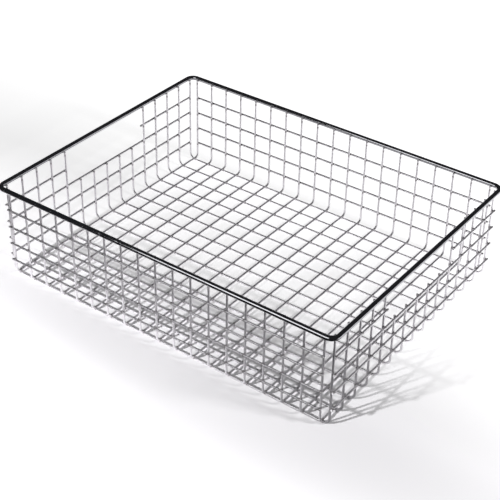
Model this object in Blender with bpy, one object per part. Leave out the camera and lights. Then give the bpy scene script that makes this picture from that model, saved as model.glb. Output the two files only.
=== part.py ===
"""Breading basket: an open basket of welded wire with a heavy rod rim.

Long wires and cross wires make the floor, and both turn up to stand as the walls' uprights.
Straight row wires are welded to the outside of the uprights, and the rim rod runs round the
outside of the uprights' tops. Each end wall is open below the rim over a few cells, as a
hand-hold.

Metres, +Z up. X runs along the basket, and the origin is at the middle of its footprint,
on the surface it stands on.
"""

from math import cos, pi, radians

import bmesh
import bpy
from mathutils import Matrix, Vector

MM = 0.001

# Rods
WIRE = 2.67 * MM  # mesh wire, across the flats of its section
RIM_ROD = 6.35 * MM  # rim rod, across the flats of its section
WELD_GAP = 0.3 * MM  # left between two rods that are welded to each other

# Mesh of the floor
MESH_PITCH = 25.4 * MM  # from one wire to the next, both ways
LENGTH_CELLS = 18
WIDTH_CELLS = 14

# Walls
END_BEND_RADIUS = 8.9 * MM  # long wires turning up into the end walls, at the wire's middle
SIDE_BEND_RADIUS = 5.5 * MM  # cross wires turning up into the side walls, at the wire's middle
FIRST_ROW_HEIGHT = 25.0 * MM  # middle of the lowest row, above the standing surface
ROW_PITCH = 24.2 * MM
ROWS = 4
ROW_STUB = 1.3 * MM  # a row's end past the side of its last upright

# Rim
RIM_ABOVE_TOP_ROW = 29.2 * MM  # middle of the rim above the middle of the top row
UPRIGHT_BELOW_RIM = 0.5 * MM  # an upright's top below the middle of the rim
RIM_STRAIGHT_PAST = 0.3 * MM  # from a corner upright's middle to the start of the rim's bend

# Hand-hold in each end wall
HOLD_CELLS = 6  # cells of the floor's width
HOLD_ROWS = 1  # rows that are cut through, from the top down
SILL_STUB = 0.8 * MM  # a shortened upright's top above the middle of the row it ends on

# Faceting
WIRE_SIDES = 8
RIM_SIDES = 16
WIRE_BEND_STEPS = 5
RIM_BEND_STEPS = 8
SHARP_ANGLE = radians(50)

# Finishes: colour, roughness, metallic
WIRE_FINISH = ((0.50, 0.50, 0.52, 1.0), 0.25, 1.0)
ROW_FINISH = ((0.42, 0.42, 0.44, 1.0), 0.25, 1.0)
RIM_FINISH = ((0.36, 0.36, 0.38, 1.0), 0.18, 1.0)

# Heights and distances from the middle that follow from the sizes above
CROSSING = WIRE + WELD_GAP  # between the middles of two mesh wires that cross
LONG_WIRE_HEIGHT = WIRE / 2
CROSS_WIRE_HEIGHT = LONG_WIRE_HEIGHT + CROSSING
HALF_MESH_LENGTH = LENGTH_CELLS * MESH_PITCH / 2
HALF_MESH_WIDTH = WIDTH_CELLS * MESH_PITCH / 2
END_WALL_X = HALF_MESH_LENGTH + END_BEND_RADIUS
SIDE_WALL_Y = HALF_MESH_WIDTH + SIDE_BEND_RADIUS
TOP_ROW_HEIGHT = FIRST_ROW_HEIGHT + (ROWS - 1) * ROW_PITCH
RIM_HEIGHT = TOP_ROW_HEIGHT + RIM_ABOVE_TOP_ROW
UPRIGHT_TOP = RIM_HEIGHT - UPRIGHT_BELOW_RIM
RIM_OFFSET = WIRE / 2 + WELD_GAP + RIM_ROD / 2  # rim's middle, out from the uprights' middles
RIM_CORNER_RADIUS = min(END_BEND_RADIUS, SIDE_BEND_RADIUS) + RIM_OFFSET - RIM_STRAIGHT_PAST
ROW_OVERHANG = WIRE / 2 + ROW_STUB  # a row's end past the middle of its last upright
HOLD_FRONT = (WIDTH_CELLS - HOLD_CELLS) // 2  # long wire at the hold's front side, from 0
HOLD_BACK = HOLD_FRONT + HOLD_CELLS  # long wire at its back side
WHOLE_ROWS = ROWS - HOLD_ROWS
SILL_HEIGHT = FIRST_ROW_HEIGHT + (WHOLE_ROWS - 1) * ROW_PITCH
HELD_TOP = SILL_HEIGHT + SILL_STUB


# Bending and joining rods


def start_rod(bm, across, sides, place):
    """Lays down a rod's section, flat faces towards its two axes, and gives its edges."""
    corner_radius = across / 2 / cos(pi / sides)
    turned = place @ Matrix.Rotation(pi / sides, 4, "Z")
    ring = bmesh.ops.create_circle(
        bm, cap_ends=False, segments=sides, radius=corner_radius, matrix=turned
    )
    return list({edge for vert in ring["verts"] for edge in vert.link_edges})


def run_straight(bm, ring, along):
    """Draws the rod on from the ring by a straight run, and gives the new ring."""
    grown = bmesh.ops.extrude_edge_only(bm, edges=ring)["geom"]
    verts = [item for item in grown if isinstance(item, bmesh.types.BMVert)]
    bmesh.ops.translate(bm, verts=verts, vec=along)
    fresh = set(verts)
    edges = {edge for vert in verts for edge in vert.link_edges}
    return [edge for edge in edges if fresh.issuperset(edge.verts)]


def bend(bm, ring, centre, axis, angle, steps):
    """Draws the rod on from the ring round a bend, and gives the new ring."""
    verts = list({vert for edge in ring for vert in edge.verts})
    turned = bmesh.ops.spin(
        bm, geom=verts + ring, cent=centre, axis=axis, angle=angle, steps=steps, use_merge=False
    )
    return [item for item in turned["geom_last"] if isinstance(item, bmesh.types.BMEdge)]


def finish_mesh(bm, name):
    """Closes a rod's cut ends, points its faces outwards and makes it a mesh."""
    bmesh.ops.remove_doubles(bm, verts=bm.verts, dist=WELD_GAP / 100)
    bmesh.ops.holes_fill(bm, edges=bm.edges, sides=RIM_SIDES)
    bmesh.ops.recalc_face_normals(bm, faces=bm.faces)
    mesh = bpy.data.meshes.new(name)
    bm.to_mesh(mesh)
    bm.free()
    mesh.shade_smooth()
    mesh.set_sharp_from_angle(angle=SHARP_ANGLE)
    return mesh


def straight_wire(name, length):
    """A straight mesh wire along X, with its middle at the origin."""
    bm = bmesh.new()
    place = Matrix.Translation((-length / 2, 0, 0)) @ Matrix.Rotation(pi / 2, 4, "Y")
    ring = start_rod(bm, WIRE, WIRE_SIDES, place)
    run_straight(bm, ring, Vector((length, 0, 0)))
    return finish_mesh(bm, name)


def cradle_wire(name, half_straight, radius, rise):
    """A mesh wire that runs flat along X and stands up at both ends.

    The origin is at the middle of the flat run, half_straight long to each side. The bends
    have the given radius, and the uprights end at the height called rise.
    """
    upright = Vector((0, 0, rise - radius))
    axis = (0, 1, 0)
    bm = bmesh.new()
    left_top = Matrix.Translation((-half_straight - radius, 0, rise))
    ring = start_rod(bm, WIRE, WIRE_SIDES, left_top)
    ring = run_straight(bm, ring, -upright)
    ring = bend(bm, ring, (-half_straight, 0, radius), axis, -pi / 2, WIRE_BEND_STEPS)
    ring = run_straight(bm, ring, Vector((2 * half_straight, 0, 0)))
    ring = bend(bm, ring, (half_straight, 0, radius), axis, -pi / 2, WIRE_BEND_STEPS)
    run_straight(bm, ring, upright)
    return finish_mesh(bm, name)


def rim_loop(name, half_length, half_width, corner_radius):
    """The rim: one rod bent into a rectangle with round corners, its ends joined."""
    corner_x = half_length - corner_radius
    corner_y = half_width - corner_radius
    bm = bmesh.new()
    start = Matrix.Translation((-corner_x, -half_width, 0))
    ring = start_rod(bm, RIM_ROD, RIM_SIDES, start @ Matrix.Rotation(pi / 2, 4, "Y"))
    sides = (
        (Vector((2 * corner_x, 0, 0)), (corner_x, -corner_y, 0)),
        (Vector((0, 2 * corner_y, 0)), (corner_x, corner_y, 0)),
        (Vector((-2 * corner_x, 0, 0)), (-corner_x, corner_y, 0)),
        (Vector((0, -2 * corner_y, 0)), (-corner_x, -corner_y, 0)),
    )
    for along, corner in sides:
        ring = run_straight(bm, ring, along)
        ring = bend(bm, ring, corner, (0, 0, 1), pi / 2, RIM_BEND_STEPS)
    return finish_mesh(bm, name)


def material(name, finish):
    """A metal finish."""
    colour, roughness, metallic = finish
    made = bpy.data.materials.new(name)
    made.use_nodes = True
    shader = made.node_tree.nodes["Principled BSDF"]
    shader.inputs["Base Color"].default_value = colour
    shader.inputs["Roughness"].default_value = roughness
    shader.inputs["Metallic"].default_value = metallic
    made.diffuse_color = colour
    return made


def place_part(name, mesh, finish, location, turn=0.0):
    """Puts one sub-part where it belongs, turned about Z."""
    part = bpy.data.objects.new(name, mesh)
    part.location = location
    part.rotation_euler = (0, 0, turn)
    if not mesh.materials:
        mesh.materials.append(finish)
    bpy.context.collection.objects.link(part)
    return part


def long_wire_y(index):
    """Where a long wire lies across the basket, counted from the front."""
    return index * MESH_PITCH - HALF_MESH_WIDTH


def cross_wire_x(index):
    """Where a cross wire lies along the basket, counted from the left."""
    return index * MESH_PITCH - HALF_MESH_LENGTH


for old in list(bpy.data.objects):
    bpy.data.objects.remove(old, do_unlink=True)

wire_metal = material("bright_mesh_wire", WIRE_FINISH)
row_metal = material("bright_row_wire", ROW_FINISH)
rim_metal = material("bright_rim_rod", RIM_FINISH)

# Long wires: the floor's lower layer and the end walls' uprights
full_long = cradle_wire(
    "long_wire", HALF_MESH_LENGTH, END_BEND_RADIUS, UPRIGHT_TOP - LONG_WIRE_HEIGHT
)
held_long = cradle_wire(
    "long_wire_under_hold", HALF_MESH_LENGTH, END_BEND_RADIUS, HELD_TOP - LONG_WIRE_HEIGHT
)
for index in range(WIDTH_CELLS + 1):
    mesh = held_long if HOLD_FRONT < index < HOLD_BACK else full_long
    location = (0, long_wire_y(index), LONG_WIRE_HEIGHT)
    place_part(f"long_wire_{index + 1:02d}", mesh, wire_metal, location)

# Cross wires: the floor's upper layer and the side walls' uprights
full_cross = cradle_wire(
    "cross_wire", HALF_MESH_WIDTH, SIDE_BEND_RADIUS, UPRIGHT_TOP - CROSS_WIRE_HEIGHT
)
for index in range(LENGTH_CELLS + 1):
    location = (cross_wire_x(index), 0, CROSS_WIRE_HEIGHT)
    place_part(f"cross_wire_{index + 1:02d}", full_cross, wire_metal, location, pi / 2)

# Row wires: straight, outside the uprights, stopping just past the last one
side_row = straight_wire("side_row", 2 * (HALF_MESH_LENGTH + ROW_OVERHANG))
end_row = straight_wire("end_row", 2 * (HALF_MESH_WIDTH + ROW_OVERHANG))
row_y = SIDE_WALL_Y + CROSSING
row_x = END_WALL_X + CROSSING
for row in range(ROWS):
    z = FIRST_ROW_HEIGHT + row * ROW_PITCH
    place_part(f"front_row_{row + 1}", side_row, row_metal, (0, -row_y, z))
    place_part(f"back_row_{row + 1}", side_row, row_metal, (0, row_y, z))
for row in range(WHOLE_ROWS):
    z = FIRST_ROW_HEIGHT + row * ROW_PITCH
    place_part(f"left_row_{row + 1}", end_row, row_metal, (-row_x, 0, z), pi / 2)
    place_part(f"right_row_{row + 1}", end_row, row_metal, (row_x, 0, z), pi / 2)

# The rows that the hand-holds cut through, in two pieces on each end wall
for piece, first, last in (("front", 0, HOLD_FRONT), ("back", HOLD_BACK, WIDTH_CELLS)):
    middle = (long_wire_y(first) + long_wire_y(last)) / 2
    span = long_wire_y(last) - long_wire_y(first)
    cut_row = straight_wire(f"cut_row_{piece}", span + 2 * ROW_OVERHANG)
    for row in range(WHOLE_ROWS, ROWS):
        z = FIRST_ROW_HEIGHT + row * ROW_PITCH
        left = (-row_x, middle, z)
        right = (row_x, middle, z)
        place_part(f"left_row_{row + 1}_{piece}", cut_row, row_metal, left, pi / 2)
        place_part(f"right_row_{row + 1}_{piece}", cut_row, row_metal, right, pi / 2)

# Rim rod, round the outside of the uprights' tops
rim_mesh = rim_loop(
    "top_rim", END_WALL_X + RIM_OFFSET, SIDE_WALL_Y + RIM_OFFSET, RIM_CORNER_RADIUS
)
place_part("top_rim", rim_mesh, rim_metal, (0, 0, RIM_HEIGHT))
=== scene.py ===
"""Breading basket: the visible finish of the wires, rim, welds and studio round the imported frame.

Metres, +Z up. X runs along the basket, Y across it from front to back.
"""

from math import cos, pi, radians, sin

import bmesh
import bpy
from mathutils import Matrix, Vector


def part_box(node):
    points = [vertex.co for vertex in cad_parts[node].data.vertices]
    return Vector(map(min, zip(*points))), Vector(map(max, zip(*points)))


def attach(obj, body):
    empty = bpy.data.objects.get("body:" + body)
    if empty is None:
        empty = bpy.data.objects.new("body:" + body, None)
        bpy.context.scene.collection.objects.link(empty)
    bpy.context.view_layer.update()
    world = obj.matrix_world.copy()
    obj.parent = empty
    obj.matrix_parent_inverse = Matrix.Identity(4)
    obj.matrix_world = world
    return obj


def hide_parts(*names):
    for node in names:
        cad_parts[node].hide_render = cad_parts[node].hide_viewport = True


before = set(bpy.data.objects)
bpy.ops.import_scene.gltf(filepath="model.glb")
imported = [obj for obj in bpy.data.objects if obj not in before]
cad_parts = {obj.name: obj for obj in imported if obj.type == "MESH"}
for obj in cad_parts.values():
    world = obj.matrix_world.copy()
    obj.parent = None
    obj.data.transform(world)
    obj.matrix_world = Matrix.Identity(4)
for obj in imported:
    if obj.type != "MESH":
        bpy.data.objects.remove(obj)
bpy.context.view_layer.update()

# Long wires: drawn steel wires that lie lengthwise as the floor's lower layer and turn up as the
# end walls' uprights. Each is cut from plated-bright wire, bent at both ends and sheared square.

LONG_WIRES = 15
WIRE = 0.00267
WIRE_SIDES = 18
END_BEND_RADIUS = 0.0089
BEND_STEPS = 10
CUT_CHAMFER = 0.00022
CUT_FACE_SHARE = 0.84
SAME_POINT = 0.00001
SHARP_ANGLE = radians(40)


def start_wire(bm, across, sides, place):
    """Lays a round section on the place's XY plane, and notes where each corner is round it."""
    run = bm.verts.layers.float_vector.new("run")
    ring = bmesh.ops.create_circle(
        bm, cap_ends=False, segments=sides, radius=across / 2, matrix=place,
    )["verts"]
    for side, vert in enumerate(ring):
        angle = 2 * pi * side / sides
        vert[run] = (0, cos(angle), sin(angle))
    return ring


def add_run(bm, verts, length):
    """Adds a length to how far along the wire these corners are."""
    run = bm.verts.layers.float_vector["run"]
    for vert in verts:
        vert[run] = vert[run] + Vector((length, 0, 0))


def edges_of(verts):
    """The edges whose two ends are both among these corners."""
    own = set(verts)
    near = {edge for vert in verts for edge in vert.link_edges}
    return [edge for edge in near if own.issuperset(edge.verts)]


def run_straight(bm, verts, along, share=1):
    """Draws the wire on by a straight length, to an end with a share of its width."""
    grown = bmesh.ops.extrude_edge_only(bm, edges=edges_of(verts))["geom"]
    fresh = [item for item in grown if isinstance(item, bmesh.types.BMVert)]
    bmesh.ops.translate(bm, verts=fresh, vec=along)
    if share != 1:
        middle = sum((vert.co for vert in fresh), Vector()) / len(fresh)
        space = Matrix.Translation(-middle)
        bmesh.ops.scale(bm, verts=fresh, vec=(share, share, share), space=space)
    add_run(bm, fresh, along.length)
    return fresh


def turn(bm, verts, centre, axis, angle, steps, length):
    """Draws the wire on round a bend, one step at a time."""
    for step in range(steps):
        spun = bmesh.ops.spin(
            bm, geom=list(verts) + edges_of(verts), cent=centre, axis=axis,
            angle=angle / steps, steps=1, use_merge=False,
        )
        verts = [item for item in spun["geom_last"] if isinstance(item, bmesh.types.BMVert)]
        add_run(bm, verts, length / steps)
    return verts


def make_object(bm, name, *materials):
    """Makes an object of what was built, with these materials."""
    mesh = bpy.data.meshes.new(name)
    bm.to_mesh(mesh)
    bm.free()
    for material in materials:
        mesh.materials.append(material)
    made = bpy.data.objects.new(name, mesh)
    bpy.context.collection.objects.link(made)
    return made


def finish_wire(bm, name, material):
    """Closes the sheared ends with their dull face, turns the faces out and makes the piece."""
    bmesh.ops.remove_doubles(bm, verts=bm.verts, dist=SAME_POINT)
    cut_faces = bmesh.ops.holes_fill(bm, edges=bm.edges, sides=WIRE_SIDES)["faces"]
    for face in cut_faces:
        face.material_index = 1
    bmesh.ops.recalc_face_normals(bm, faces=bm.faces)
    materials = (material, SHEARED_END) if cut_faces else (material,)
    piece = make_object(bm, name, *materials)
    piece.data.shade_smooth()
    piece.data.set_sharp_from_angle(angle=SHARP_ANGLE)
    return piece


def cradle_wire(name, node, radius, turned, material):
    """A wire that lies flat and stands up at both ends, where its CAD node is."""
    low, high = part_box(node)
    middle = (low + high) / 2
    size = high - low
    length = size.y if turned else size.x
    half = length / 2 - WIRE / 2 - radius
    rise = size.z - WIRE / 2 - radius
    quarter = radius * pi / 2
    bm = bmesh.new()
    left_top = Matrix.Translation((-half - radius, 0, rise + radius - CUT_CHAMFER))
    ring = start_wire(bm, WIRE, WIRE_SIDES, left_top)
    tip = list(ring)
    ring = run_straight(bm, ring, Vector((0, 0, CUT_CHAMFER - rise)))
    ring = turn(bm, ring, (-half, 0, radius), (0, 1, 0), -pi / 2, BEND_STEPS, quarter)
    ring = run_straight(bm, ring, Vector((2 * half, 0, 0)))
    ring = turn(bm, ring, (half, 0, radius), (0, 1, 0), -pi / 2, BEND_STEPS, quarter)
    ring = run_straight(bm, ring, Vector((0, 0, rise - CUT_CHAMFER)))
    for end in (ring, tip):
        run_straight(bm, end, Vector((0, 0, CUT_CHAMFER)), CUT_FACE_SHARE)
    place = Matrix.Translation((middle.x, middle.y, low.z + WIRE / 2))
    if turned:
        place = place @ Matrix.Rotation(pi / 2, 4, "Z")
    bmesh.ops.transform(bm, matrix=place, verts=bm.verts)
    piece = finish_wire(bm, name, material)
    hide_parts(node)
    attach(piece, "root")
    return piece


# The marks on the wires: die lines along them, a bloom at each evenly spaced weld, haze all over.
# Each is a node group that the wires' materials share. A higher fineness gives a finer pattern.

MARK_STRETCH = (22, 1, 1)
LINE_FINENESS = 5
LINE_DETAIL = 4
LINE_ROUGHNESS = 0.65
STREAK_FINENESS = 1.6
STREAK_DETAIL = 2
MESH_PITCH = 0.0254
FIRST_ROW_HEIGHT = 0.025
ROW_PITCH = 0.0242
BLOOM_REACH = 0.0026
PALM_FINENESS = 14
HAZE_DETAIL = 5
HAZE_ROUGHNESS = 0.6
PIT_FINENESS = 900
PIT_DETAIL = 2


def feed(tree, socket, value):
    """Links another socket to this one, or sets this one to a plain value."""
    if isinstance(value, bpy.types.NodeSocket):
        tree.links.new(value, socket)
    else:
        socket.default_value = value


def add_node(tree, kind, settings=None, **values):
    """Places a node with its settings, and feeds its sockets by their labels."""
    node = tree.nodes.new(kind)
    for setting, choice in (settings or {}).items():
        setattr(node, setting, choice)
    for label, value in values.items():
        feed(tree, node.inputs[label.replace("_", " ")], value)
    return node


def add_math(tree, operation, *values, kind="ShaderNodeMath"):
    """Places one sum over values, or over vectors, in their order."""
    node = tree.nodes.new(kind)
    node.operation = operation
    for socket, value in zip(node.inputs, values):
        feed(tree, socket, value)
    return node


def map_range(tree, source, limits, wanted, interpolation="LINEAR"):
    """Turns a value between two limits into one between two wanted values."""
    node = add_node(
        tree, "ShaderNodeMapRange", {"interpolation_type": interpolation}, Value=source,
        From_Min=limits[0], From_Max=limits[1], To_Min=wanted[0], To_Max=wanted[1],
    )
    return node.outputs["Result"]


def new_group(name, inputs, outputs):
    """An empty shader group with value sockets, and the nodes of its inputs and outputs."""
    group = bpy.data.node_groups.new(name, "ShaderNodeTree")
    kind = "NodeSocketFloat"
    for label, value in inputs.items():
        socket = group.interface.new_socket(label, in_out="INPUT", socket_type=kind)
        socket.default_value = value
    for label in outputs:
        group.interface.new_socket(label, in_out="OUTPUT", socket_type=kind)
    return group, group.nodes.new("NodeGroupInput"), group.nodes.new("NodeGroupOutput")


def draw_marks_group():
    """Fine lines along the wire from the drawing die, with longer dull streaks among them."""
    group, given, out = new_group(
        "Draw marks", {"Fineness": LINE_FINENESS}, ["Height", "Streaks"],
    )
    run = add_node(group, "ShaderNodeAttribute", {"attribute_name": "run"})
    stretch = add_node(
        group, "ShaderNodeMapping", Vector=run.outputs["Vector"], Scale=MARK_STRETCH,
    )
    lines = add_node(
        group, "ShaderNodeTexNoise", Vector=stretch.outputs["Vector"],
        Scale=given.outputs["Fineness"], Detail=LINE_DETAIL, Roughness=LINE_ROUGHNESS,
    )
    streaks = add_node(
        group, "ShaderNodeTexNoise", Vector=stretch.outputs["Vector"],
        Scale=STREAK_FINENESS, Detail=STREAK_DETAIL,
    )
    feed(group, out.inputs["Height"], lines.outputs["Fac"])
    feed(group, out.inputs["Streaks"], streaks.outputs["Fac"])
    return group


def weld_bloom_group():
    """How near a point is to one of the evenly spaced welds on its wire: 1 at a weld, 0 away."""
    group, given, out = new_group(
        "Weld bloom", {"Along": 0, "First": 0, "Pitch": MESH_PITCH, "Reach": BLOOM_REACH}, ["Mask"],
    )
    shifted = add_math(group, "SUBTRACT", given.outputs["Along"], given.outputs["First"])
    half = add_math(group, "DIVIDE", given.outputs["Pitch"], 2)
    apart = add_math(group, "PINGPONG", shifted.outputs[0], half.outputs[0])
    mask = add_node(
        group, "ShaderNodeMapRange", {"interpolation_type": "SMOOTHERSTEP"},
        Value=apart.outputs[0], From_Max=given.outputs["Reach"], To_Min=1, To_Max=0,
    )
    feed(group, out.inputs["Mask"], mask.outputs["Result"])
    return group


def handling_group():
    """Cloudy patches of fine scratches and finger marks, and the plating's own small pits."""
    group, given, out = new_group("Handling haze", {"Size": PALM_FINENESS}, ["Haze", "Pits"])
    place = add_node(group, "ShaderNodeTexCoord")
    clouds = add_node(
        group, "ShaderNodeTexNoise", Vector=place.outputs["Object"],
        Scale=given.outputs["Size"], Detail=HAZE_DETAIL, Roughness=HAZE_ROUGHNESS,
    )
    pits = add_node(
        group, "ShaderNodeTexNoise", Vector=place.outputs["Object"],
        Scale=PIT_FINENESS, Detail=PIT_DETAIL,
    )
    feed(group, out.inputs["Haze"], clouds.outputs["Fac"])
    feed(group, out.inputs["Pits"], pits.outputs["Fac"])
    return group


DRAW_MARKS = draw_marks_group()
WELD_BLOOM = weld_bloom_group()
HANDLING = handling_group()


def use_group(tree, group, **values):
    """Places a group with its own values."""
    return add_node(tree, "ShaderNodeGroup", {"node_tree": group}, **values)


def bloom_along(tree, axis, stands):
    """The mask of the welds on a wire that runs along an axis, and up the wall if it stands."""
    place = add_node(tree, "ShaderNodeTexCoord")
    split = add_node(tree, "ShaderNodeSeparateXYZ", Vector=place.outputs["Object"])
    lying = use_group(tree, WELD_BLOOM, Along=split.outputs[axis], Pitch=MESH_PITCH)
    if not stands:
        return lying.outputs["Mask"]
    height = split.outputs["Z"]
    standing = use_group(tree, WELD_BLOOM, Along=height, First=FIRST_ROW_HEIGHT, Pitch=ROW_PITCH)
    up_the_wall = add_math(tree, "GREATER_THAN", height, FIRST_ROW_HEIGHT / 2)
    choose = add_node(
        tree, "ShaderNodeMix", Factor=up_the_wall.outputs[0],
        A=lying.outputs["Mask"], B=standing.outputs["Mask"],
    )
    return choose.outputs["Result"]


# The wires' materials. The limits are those that a noise's values mostly keep within.

NOISE_LIMITS = (0.3, 0.7)
HAZE_LIMITS = (0.35, 0.7)
BLOOM_COVER = 0.85
BLOOM_ROUGHENS = 0.14
STREAK_TONES = (0.82, 1.1)
LINE_RELIEF = 0.12
LINE_DEPTH = 0.00008
SHEARED_METALLIC = 0.1
SHEARED_FINENESS = 700
SHEARED_GREY = (0.66, 0.65, 0.66, 1)
SHEARED_PALE = (0.82, 0.81, 0.83, 1)
SHEARED_ROUGHNESS = (0.5, 0.75)
METAL = (0.95, 0.93, 0.96, 1)
BLOOM = (0.58, 0.55, 0.56, 1)
LONG_ROUGHNESS = (0.36, 0.48)
# Less metallic than a mirror, so the lamps light the long wires a little and they show lighter: a
# painted lit copy of the same wire's finish.
LONG_LIT_METALLIC = 0.9


def new_metal(name, metallic):
    """A material that is metal to this share, with its tree and its shader."""
    material = bpy.data.materials.new(name)
    material.use_nodes = True
    tree = material.node_tree
    shader = tree.nodes["Principled BSDF"]
    shader.inputs["Metallic"].default_value = metallic
    return material, tree, shader


def mix_colours(tree, share, first, second, blend="MIX"):
    """One colour mixed of two, or the first one multiplied by the second."""
    settings = {"data_type": "RGBA", "blend_type": blend}
    mix = add_node(tree, "ShaderNodeMix", settings, Factor=share, A=first, B=second)
    return mix.outputs["Result"]


def bright_wire(name, axis, stands, metal, bloom_colour, roughness, metallic=1):
    """Bright drawn wire: mirror-like, with die lines, palm haze and a dull bloom at each weld."""
    material, tree, shader = new_metal(name, metallic)
    marks = use_group(tree, DRAW_MARKS, Fineness=LINE_FINENESS)
    haze = use_group(tree, HANDLING, Size=PALM_FINENESS)
    bloom = bloom_along(tree, axis, stands)
    bloomed = map_range(tree, bloom, (0, 1), (0, BLOOM_COVER))
    tint = mix_colours(tree, bloomed, metal, bloom_colour)
    streaks = map_range(tree, marks.outputs["Streaks"], NOISE_LIMITS, STREAK_TONES)
    feed(tree, shader.inputs["Base Color"], mix_colours(tree, 1, tint, streaks, "MULTIPLY"))
    clouds = map_range(tree, haze.outputs["Haze"], HAZE_LIMITS, roughness)
    dull_weld = map_range(tree, bloom, (0, 1), (0, BLOOM_ROUGHENS))
    rough = add_math(tree, "ADD", clouds, dull_weld)
    feed(tree, shader.inputs["Roughness"], rough.outputs[0])
    height = add_math(tree, "ADD", marks.outputs["Height"], haze.outputs["Pits"])
    bump = add_node(
        tree, "ShaderNodeBump", Strength=LINE_RELIEF, Distance=LINE_DEPTH, Height=height.outputs[0],
    )
    feed(tree, shader.inputs["Normal"], bump.outputs["Normal"])
    return material


def sheared_metal(name):
    """The torn face that the shears leave: pale, rough and only half plated."""
    material, tree, shader = new_metal(name, SHEARED_METALLIC)
    haze = use_group(tree, HANDLING, Size=SHEARED_FINENESS)
    shade = mix_colours(tree, haze.outputs["Haze"], SHEARED_GREY, SHEARED_PALE)
    feed(tree, shader.inputs["Base Color"], shade)
    rough = map_range(tree, haze.outputs["Pits"], NOISE_LIMITS, SHEARED_ROUGHNESS)
    feed(tree, shader.inputs["Roughness"], rough)
    return material


SHEARED_END = sheared_metal("sheared_end")

long_nodes = [f"long_wire_{index:02d}" for index in range(1, LONG_WIRES + 1)]
long_lit_metal = bright_wire(
    "long_wire_lit_copy", "X", True, METAL, BLOOM, LONG_ROUGHNESS, LONG_LIT_METALLIC,
)
for node in long_nodes:
    cradle_wire(f"{node}_drawn", node, END_BEND_RADIUS, False, long_lit_metal)

# Cross wires: the same drawn wire laid across, on the long ones, as the floor's upper layer. They
# turn up tighter, as the front and back walls' uprights, and are welded wherever they cross.

CROSS_WIRES = 19
SIDE_BEND_RADIUS = 0.0055
CROSS_ROUGHNESS = (0.38, 0.5)
# Less metallic again than the long wires, so the cross wires show lighter under the lamps: a
# painted lit copy of the same wire's finish.
CROSS_LIT_METALLIC = 0.78

cross_nodes = [f"cross_wire_{index:02d}" for index in range(1, CROSS_WIRES + 1)]
cross_lit_metal = bright_wire(
    "cross_wire_lit_copy", "Y", True, METAL, BLOOM, CROSS_ROUGHNESS, CROSS_LIT_METALLIC,
)
for node in cross_nodes:
    cradle_wire(f"{node}_drawn", node, SIDE_BEND_RADIUS, True, cross_lit_metal)

# Row wires: straight wires laid level round the outside of the uprights, four to a wall. The
# top ones of the end walls are cut through for the hand-holds, so those are in two pieces.

SIDE_ROWS = ("1", "2", "3", "4")
END_ROWS = ("1", "2", "3", "4_front", "4_back")
# The front and back rows get a darker colour than the rest of the same wire, a painted shaded copy;
# the end rows a less metallic finish that the lamps light more, a painted lit copy.
SHADED_ROW_METAL = (0.88, 0.86, 0.89, 1)
ROW_ROUGHNESS = (0.38, 0.5)
END_ROW_LIT_METALLIC = 0.75


def row_wire(name, node, turned, material):
    """A straight wire with sheared ends, where its CAD node is."""
    low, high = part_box(node)
    middle = (low + high) / 2
    length = (high - low).y if turned else (high - low).x
    inner = length - 2 * CUT_CHAMFER
    bm = bmesh.new()
    start = Matrix.Translation((-inner / 2, 0, 0)) @ Matrix.Rotation(pi / 2, 4, "Y")
    ring = start_wire(bm, WIRE, WIRE_SIDES, start)
    tip = list(ring)
    ring = run_straight(bm, ring, Vector((inner, 0, 0)))
    run_straight(bm, ring, Vector((CUT_CHAMFER, 0, 0)), CUT_FACE_SHARE)
    run_straight(bm, tip, Vector((-CUT_CHAMFER, 0, 0)), CUT_FACE_SHARE)
    place = Matrix.Translation(middle)
    if turned:
        place = place @ Matrix.Rotation(pi / 2, 4, "Z")
    bmesh.ops.transform(bm, matrix=place, verts=bm.verts)
    piece = finish_wire(bm, name, material)
    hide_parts(node)
    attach(piece, "root")
    return piece


side_row_shaded_metal = bright_wire("side_row_shaded_copy", "X", False, SHADED_ROW_METAL, BLOOM, ROW_ROUGHNESS)
end_row_lit_metal = bright_wire(
    "end_row_lit_copy", "Y", False, METAL, BLOOM, ROW_ROUGHNESS, END_ROW_LIT_METALLIC,
)
for wall in ("front", "back"):
    for row in SIDE_ROWS:
        row_wire(f"{wall}_row_{row}_drawn", f"{wall}_row_{row}", False, side_row_shaded_metal)
for wall in ("left", "right"):
    for row in END_ROWS:
        row_wire(f"{wall}_row_{row}_drawn", f"{wall}_row_{row}", True, end_row_lit_metal)

# Rim: one heavy rod, bent to a rectangle with round corners, its ends butt-welded and dressed.
# It is welded to the outside of the uprights' tops and polished smoother than the mesh. Its colour
# is painted far darker than the mesh's, so that it mirrors near black: a painted dark reflection.

RIM_ROD = 0.00635
RIM_SIDES = 32
RIM_CORNER_STEPS = 16
RIM_CORNER_RADIUS = 0.01001
# Painted dark: the rod's colour is kept low so that its reflections come out near black.
RIM_DARKENED_METAL = (0.42, 0.42, 0.44, 1)
RIM_ROUGHNESS = (0.07, 0.18)


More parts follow.
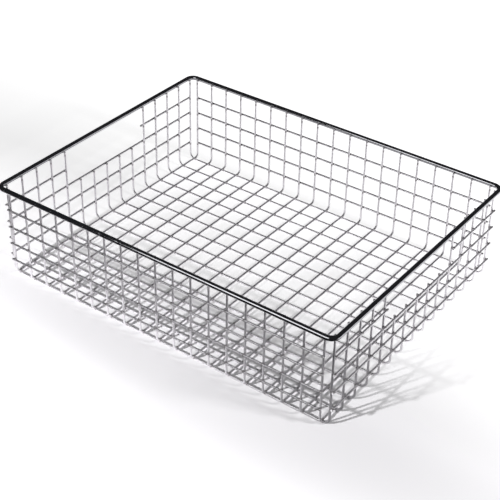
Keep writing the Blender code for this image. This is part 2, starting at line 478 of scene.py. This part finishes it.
def rim_rod(name, node, material):
    """The rod drawn round the four sides, closed on itself where its CAD node is."""
    low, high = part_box(node)
    middle = (low + high) / 2
    corner_x = (high.x - low.x) / 2 - RIM_ROD / 2 - RIM_CORNER_RADIUS
    corner_y = (high.y - low.y) / 2 - RIM_ROD / 2 - RIM_CORNER_RADIUS
    quarter = RIM_CORNER_RADIUS * pi / 2
    bm = bmesh.new()
    start = Matrix.Translation((-corner_x, -corner_y - RIM_CORNER_RADIUS, 0))
    ring = start_wire(bm, RIM_ROD, RIM_SIDES, start @ Matrix.Rotation(pi / 2, 4, "Y"))
    sides = (
        (Vector((2 * corner_x, 0, 0)), (corner_x, -corner_y, 0)),
        (Vector((0, 2 * corner_y, 0)), (corner_x, corner_y, 0)),
        (Vector((-2 * corner_x, 0, 0)), (-corner_x, corner_y, 0)),
        (Vector((0, -2 * corner_y, 0)), (-corner_x, -corner_y, 0)),
    )
    for along, corner in sides:
        ring = run_straight(bm, ring, along)
        ring = turn(bm, ring, corner, (0, 0, 1), pi / 2, RIM_CORNER_STEPS, quarter)
    bmesh.ops.transform(bm, matrix=Matrix.Translation(middle), verts=bm.verts)
    piece = finish_wire(bm, name, material)
    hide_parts(node)
    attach(piece, "root")
    return piece


rim_darkened_metal = bright_wire("bright_rim_rod", "X", False, RIM_DARKENED_METAL, RIM_DARKENED_METAL, RIM_ROUGHNESS)
rim_rod("top_rim_drawn", "top_rim", rim_darkened_metal)

# Welds: resistance welds, where two crossing wires were pressed together and melted into each
# other. Each leaves a small squeezed-out bead in the gap, plated over with the rest.

GAP = 0.0003
BEAD_ACROSS = 0.0029
BEAD_DEEP = 0.0016
BEAD_SIDES = 10
BEAD_RINGS = 4
SILL_BEAD_ACROSS = 0.0021
SILL_BEAD_DROP = 0.0006
RIM_BEAD_LONG = 0.0038
RIM_BEAD_DROP = 0.0014
BEAD_METAL = (0.5, 0.49, 0.5, 1)
BEAD_FINENESS = 260
BEAD_BRIGHTENS = 0.7
BEAD_ROUGHNESS = (0.22, 0.42)
BEAD_RELIEF = 0.35
BEAD_PIT_DEPTH = 0.0002


def weld_metal(name):
    """Melted and plated-over metal: uneven, duller than the wire beside it."""
    material, tree, shader = new_metal(name, 1)
    haze = use_group(tree, HANDLING, Size=BEAD_FINENESS)
    brighter = map_range(tree, haze.outputs["Haze"], HAZE_LIMITS, (0, BEAD_BRIGHTENS))
    feed(tree, shader.inputs["Base Color"], mix_colours(tree, brighter, BEAD_METAL, METAL))
    rough = map_range(tree, haze.outputs["Haze"], NOISE_LIMITS, BEAD_ROUGHNESS)
    feed(tree, shader.inputs["Roughness"], rough)
    bump = add_node(
        tree, "ShaderNodeBump", Strength=BEAD_RELIEF, Distance=BEAD_PIT_DEPTH,
        Height=haze.outputs["Pits"],
    )
    feed(tree, shader.inputs["Normal"], bump.outputs["Normal"])
    return material


def add_bead(bm, place, size):
    """One bead, with its depth along the place's Z."""
    bmesh.ops.create_uvsphere(
        bm, u_segments=BEAD_SIDES, v_segments=BEAD_RINGS, radius=0.5,
        matrix=place @ Matrix.Diagonal((*size, 1)),
    )


def finish_beads(bm, name, material):
    """Makes one piece of the beads of a wall, the floor or the rim."""
    bmesh.ops.recalc_face_normals(bm, faces=bm.faces)
    piece = make_object(bm, name, material)
    piece.data.shade_smooth()
    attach(piece, "root")
    return piece


def middle_of(node):
    """The middle of a CAD node's box."""
    low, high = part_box(node)
    return (low + high) / 2


bead_metal = weld_metal("plated_weld")
bead_size = (BEAD_ACROSS, BEAD_ACROSS, BEAD_DEEP)
floor_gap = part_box(long_nodes[0])[0].z + WIRE + GAP / 2

bm = bmesh.new()
for long_node in long_nodes:
    for cross_node in cross_nodes:
        spot = (middle_of(cross_node).x, middle_of(long_node).y, floor_gap)
        add_bead(bm, Matrix.Translation(spot), bead_size)
finish_beads(bm, "floor_welds", bead_metal)

# The walls' beads lie between the uprights and the rows outside them, so their depth is turned
# to Y or X. Where a short upright ends on its row, the bead is smaller and sits lower.

sill_bead_size = (SILL_BEAD_ACROSS, SILL_BEAD_ACROSS, BEAD_DEEP)
depth_to_y = Matrix.Rotation(pi / 2, 4, "X")
depth_to_x = Matrix.Rotation(pi / 2, 4, "Y")
for wall, side in (("front", -1), ("back", 1)):
    bm = bmesh.new()
    for row in SIDE_ROWS:
        low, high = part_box(f"{wall}_row_{row}")
        y = (low.y if side > 0 else high.y) - side * GAP / 2
        for cross_node in cross_nodes:
            spot = (middle_of(cross_node).x, y, (low.z + high.z) / 2)
            add_bead(bm, Matrix.Translation(spot) @ depth_to_y, bead_size)
    finish_beads(bm, f"{wall}_wall_welds", bead_metal)
for wall, side in (("left", -1), ("right", 1)):
    bm = bmesh.new()
    for row in END_ROWS:
        low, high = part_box(f"{wall}_row_{row}")
        x = (low.x if side > 0 else high.x) - side * GAP / 2
        for long_node in long_nodes:
            y = middle_of(long_node).y
            if not low.y < y < high.y:
                continue
            ends_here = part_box(long_node)[1].z < high.z
            drop = SILL_BEAD_DROP if ends_here else 0
            size = sill_bead_size if ends_here else bead_size
            spot = (x, y, (low.z + high.z) / 2 - drop)
            add_bead(bm, Matrix.Translation(spot) @ depth_to_x, size)
    finish_beads(bm, f"{wall}_wall_welds", bead_metal)

# The rim's beads are longer, down the inside of the rod at the top of each full-height upright.

rim_low, rim_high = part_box("top_rim")
bead_z = (rim_low.z + rim_high.z) / 2 - RIM_BEAD_DROP
inner_x = rim_high.x - RIM_ROD - GAP / 2
inner_y = rim_high.y - RIM_ROD - GAP / 2
bm = bmesh.new()
for cross_node in cross_nodes:
    for side in (-1, 1):
        spot = (middle_of(cross_node).x, side * inner_y, bead_z)
        size = (BEAD_ACROSS, RIM_BEAD_LONG, BEAD_DEEP)
        add_bead(bm, Matrix.Translation(spot) @ depth_to_y, size)
for long_node in long_nodes:
    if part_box(long_node)[1].z < rim_low.z:
        continue
    for side in (-1, 1):
        spot = (side * inner_x, middle_of(long_node).y, bead_z)
        size = (RIM_BEAD_LONG, BEAD_ACROSS, BEAD_DEEP)
        add_bead(bm, Matrix.Translation(spot) @ depth_to_x, size)
finish_beads(bm, "rim_welds", bead_metal)

# The table: a plain pale sweep lifted to white by a painted glow, which is left out of a long patch
# beside the near wall so that the lamps' shadows stay there and are washed out elsewhere. The wires
# mirror it, painted glow and all, and see painted dark on it past a line in front of the basket and
# round the basket's near right corner: a painted dark reflection.

WHITE = (1, 1, 1, 1)
FLOOR_COLOUR = (0.8, 0.79, 0.81, 1)
FLOOR_HALF = 4
PATCH_AT = Vector((0.08, -0.2, 0))
PATCH_STRETCH = 3.4
PATCH_INNER = 0.04
PATCH_OUTER = 0.24
PAINTED_GLOW_AROUND = 0.66
FAR_REACH = 0.6
PAINTED_GLOW_FAR = 0.4
TOWARDS_PAINTED_DARK = Vector((0.124, -0.992, 0))
PAINTED_DARK_FROM = 0.205
PAINTED_DARK_SOFT = 0.05
CORNER_AT = Vector((0.26, -0.22, 0))
CORNER_INNER = 0.06
CORNER_OUTER = 0.24
CORNER_PAINTED_DARK = 0.85
PAINTED_REFLECTION_DARK = (0.02, 0.02, 0.022, 1)
VECTORS = "ShaderNodeVectorMath"


def painted_table_glow(tree, place):
    """How strongly the painted glow lights the table at a place: not in the patch, and more the
    further from it.
    """
    offset = add_math(tree, "SUBTRACT", place, PATCH_AT, kind=VECTORS)
    squeeze = (1 / PATCH_STRETCH, 1, 1)
    squeezed = add_math(tree, "MULTIPLY", offset.outputs["Vector"], squeeze, kind=VECTORS)
    length = add_math(tree, "LENGTH", squeezed.outputs["Vector"], kind=VECTORS)
    away = length.outputs["Value"]
    patch_rim = (PATCH_INNER, PATCH_OUTER)
    around = map_range(tree, away, patch_rim, (0, PAINTED_GLOW_AROUND), "SMOOTHSTEP")
    far = map_range(tree, away, (PATCH_OUTER, FAR_REACH), (0, PAINTED_GLOW_FAR))
    return add_math(tree, "ADD", around, far).outputs[0]


def painted_dark_share(tree, place):
    """How much painted dark the wires' mirrors see on the table at a place: past a line in front
    and round the near right corner, a painted dark reflection.
    """
    forward = add_math(tree, "DOT_PRODUCT", place, TOWARDS_PAINTED_DARK, kind=VECTORS)
    painted_dark_fade = (PAINTED_DARK_FROM, PAINTED_DARK_FROM + PAINTED_DARK_SOFT)
    beyond = map_range(tree, forward.outputs["Value"], painted_dark_fade, (0, 1), "SMOOTHSTEP")
    from_corner = add_math(tree, "DISTANCE", place, CORNER_AT, kind=VECTORS)
    corner_rim = (CORNER_INNER, CORNER_OUTER)
    corner_share = (CORNER_PAINTED_DARK, 0)
    at_corner = map_range(
        tree, from_corner.outputs["Value"], corner_rim, corner_share, "SMOOTHSTEP",
    )
    return add_math(tree, "MAXIMUM", beyond, at_corner).outputs[0]


def mix_shaders(tree, share, first, second):
    """Mixes two shaders: the first where the share is 0, the second where it is 1."""
    mix = tree.nodes.new("ShaderNodeMixShader")
    for socket, source in zip(mix.inputs, (share, first, second)):
        feed(tree, socket, source)
    return mix.outputs[0]


def pale_sweep(name):
    """Matt paper with a painted glow that only the camera and the wires' mirrors see, and painted
    dark that only the mirrors see.
    """
    material = bpy.data.materials.new(name)
    material.use_nodes = True
    tree = material.node_tree
    tree.nodes.clear()
    place = add_node(tree, "ShaderNodeTexCoord").outputs["Object"]
    rays = add_node(tree, "ShaderNodeLightPath")
    mirrored = rays.outputs["Is Glossy Ray"]
    seen = add_math(tree, "MAXIMUM", rays.outputs["Is Camera Ray"], mirrored)
    # The painted glow: seen by the camera and in the wires' mirrors, nowhere else.
    strength = add_math(tree, "MULTIPLY", seen.outputs[0], painted_table_glow(tree, place))
    paper = add_node(tree, "ShaderNodeBsdfDiffuse", Color=FLOOR_COLOUR)
    glow = add_node(tree, "ShaderNodeEmission", Color=WHITE, Strength=strength.outputs[0])
    lit = tree.nodes.new("ShaderNodeAddShader")
    feed(tree, lit.inputs[0], paper.outputs[0])
    feed(tree, lit.inputs[1], glow.outputs[0])
    # Painted dark that the wires' mirrors see instead of the table, past the line in front and
    # round the near right corner: a painted dark reflection.
    dark = add_node(tree, "ShaderNodeEmission", Color=PAINTED_REFLECTION_DARK)
    share = add_math(tree, "MULTIPLY", painted_dark_share(tree, place), mirrored)
    surface = mix_shaders(tree, share.outputs[0], lit.outputs[0], dark.outputs[0])
    add_node(tree, "ShaderNodeOutputMaterial", Surface=surface)
    return material


bm = bmesh.new()
bmesh.ops.create_grid(bm, x_segments=1, y_segments=1, size=FLOOR_HALF)
floor = make_object(bm, "studio_floor", pale_sweep("pale_sweep"))

# The studio: a dark room with a pale haze of fill light, which the camera sees as plain white.

ROOM = (0.03, 0.03, 0.033, 1)
FILL = 0.06

world = bpy.data.worlds.new("studio")
bpy.context.scene.world = world
world.use_nodes = True
tree = world.node_tree
tree.nodes.clear()
rays = add_node(tree, "ShaderNodeLightPath")
fill = add_node(tree, "ShaderNodeBackground", Color=WHITE, Strength=FILL)
room = add_node(tree, "ShaderNodeBackground", Color=ROOM)
white = add_node(tree, "ShaderNodeBackground", Color=WHITE)
unseen = mix_shaders(tree, rays.outputs["Is Glossy Ray"], fill.outputs[0], room.outputs[0])
backdrop = mix_shaders(tree, rays.outputs["Is Camera Ray"], unseen, white.outputs[0])
add_node(tree, "ShaderNodeOutputWorld", Surface=backdrop)

# Two lamps: a small one low at the front left, for the crisp shadows by the near corner, and a
# larger one high at the right. The wires don't mirror them.

LEFT_LAMP_AT = Vector((-0.27, -1.16, 0.56))
LEFT_LAMP_SIZE = 0.05
LEFT_LAMP_WATTS = 22.5
RIGHT_LAMP_AT = Vector((1.25, 0.14, 0.9))
RIGHT_LAMP_SIZE = 0.2
RIGHT_LAMP_WATTS = 9


def lamp(name, position, size, watts):
    """A square lamp that points at the basket."""
    light = bpy.data.lights.new(name, "AREA")
    light.shape = "SQUARE"
    light.size = size
    light.energy = watts
    source = bpy.data.objects.new(name, light)
    source.location = position
    source.rotation_euler = (-position).to_track_quat("-Z", "Y").to_euler()
    source.visible_glossy = False
    bpy.context.collection.objects.link(source)


lamp("left_lamp", LEFT_LAMP_AT, LEFT_LAMP_SIZE, LEFT_LAMP_WATTS)
lamp("right_lamp", RIGHT_LAMP_AT, RIGHT_LAMP_SIZE, RIGHT_LAMP_WATTS)

# The flag: a dark board that hangs before the left lamp and keeps its light off the far half of
# the table. The wires don't mirror it.

FLAG_EDGE = 0.353
FLAG_SIZE = (1.6, 0.5)
FLAG_AT = Vector((0.1, -0.75, FLAG_EDGE + FLAG_SIZE[1] / 2))


def board(name, position, size, look_at):
    """A flat board of the studio that faces a point, out of the camera's sight."""
    bm = bmesh.new()
    bmesh.ops.create_grid(bm, x_segments=1, y_segments=1, size=0.5)
    turned = (look_at - position).to_track_quat("Z", "Y").to_matrix().to_4x4()
    sized = Matrix.Diagonal((*size, 1, 1))
    bmesh.ops.transform(bm, matrix=Matrix.Translation(position) @ turned @ sized, verts=bm.verts)
    made = make_object(bm, name)
    made.visible_camera = False
    made.visible_diffuse = False
    return made


flag = board("flag", FLAG_AT, FLAG_SIZE, FLAG_AT + Vector((0, 1, 0)))
flag.visible_glossy = False

# The card: a glowing board beside the camera, seen only in the wires' mirrors, that paints their
# highlights. It doesn't light the table and casts no shadow.

CARD_AT = Vector((-0.13, -1.05, 0.65))
CARD_FACES = Vector((0, 0, 0.1))
CARD_SIZE = (1.05, 0.6)
CARD_GLOW = 2.5

card = board("highlight_card", CARD_AT, CARD_SIZE, CARD_FACES)
card.visible_shadow = False
card_highlight_glow = bpy.data.materials.new("painted_highlight_glow")
card_highlight_glow.use_nodes = True
tree = card_highlight_glow.node_tree
tree.nodes.clear()
# The card's glow: a painted highlight source, not a lamp.
glow = add_node(tree, "ShaderNodeEmission", Strength=CARD_GLOW)
add_node(tree, "ShaderNodeOutputMaterial", Surface=glow.outputs[0])
card.data.materials.append(card_highlight_glow)

# The camera stands where the photograph was taken from, turned by its slight roll. Its axis meets
# the picture a little above the middle.

CAMERA_FROM = Vector((0.75291, -1.05439, 0.92684))
CAMERA_AT = Vector((0.00234, -0.00373, 0.04))
CAMERA_ROLL = radians(1.327)
LENS_MM = 90.09
SENSOR_MM = 36
PHOTO_PIXELS = 500
PIXELS_ABOVE_MIDDLE = 1.5
SIGHT_END = 50

camera_data = bpy.data.cameras.new("camera")
camera_data.sensor_fit = "HORIZONTAL"
camera_data.sensor_width = SENSOR_MM
camera_data.lens = LENS_MM
camera_data.shift_y = -PIXELS_ABOVE_MIDDLE / PHOTO_PIXELS
camera_data.clip_end = SIGHT_END
camera = bpy.data.objects.new("camera", camera_data)
aim = (CAMERA_AT - CAMERA_FROM).to_track_quat("-Z", "Y").to_matrix().to_4x4()
camera.matrix_world = Matrix.Translation(CAMERA_FROM) @ aim @ Matrix.Rotation(CAMERA_ROLL, 4, "Z")
bpy.context.collection.objects.link(camera)
bpy.context.scene.camera = camera

bpy.context.scene.view_settings.view_transform = "Standard"
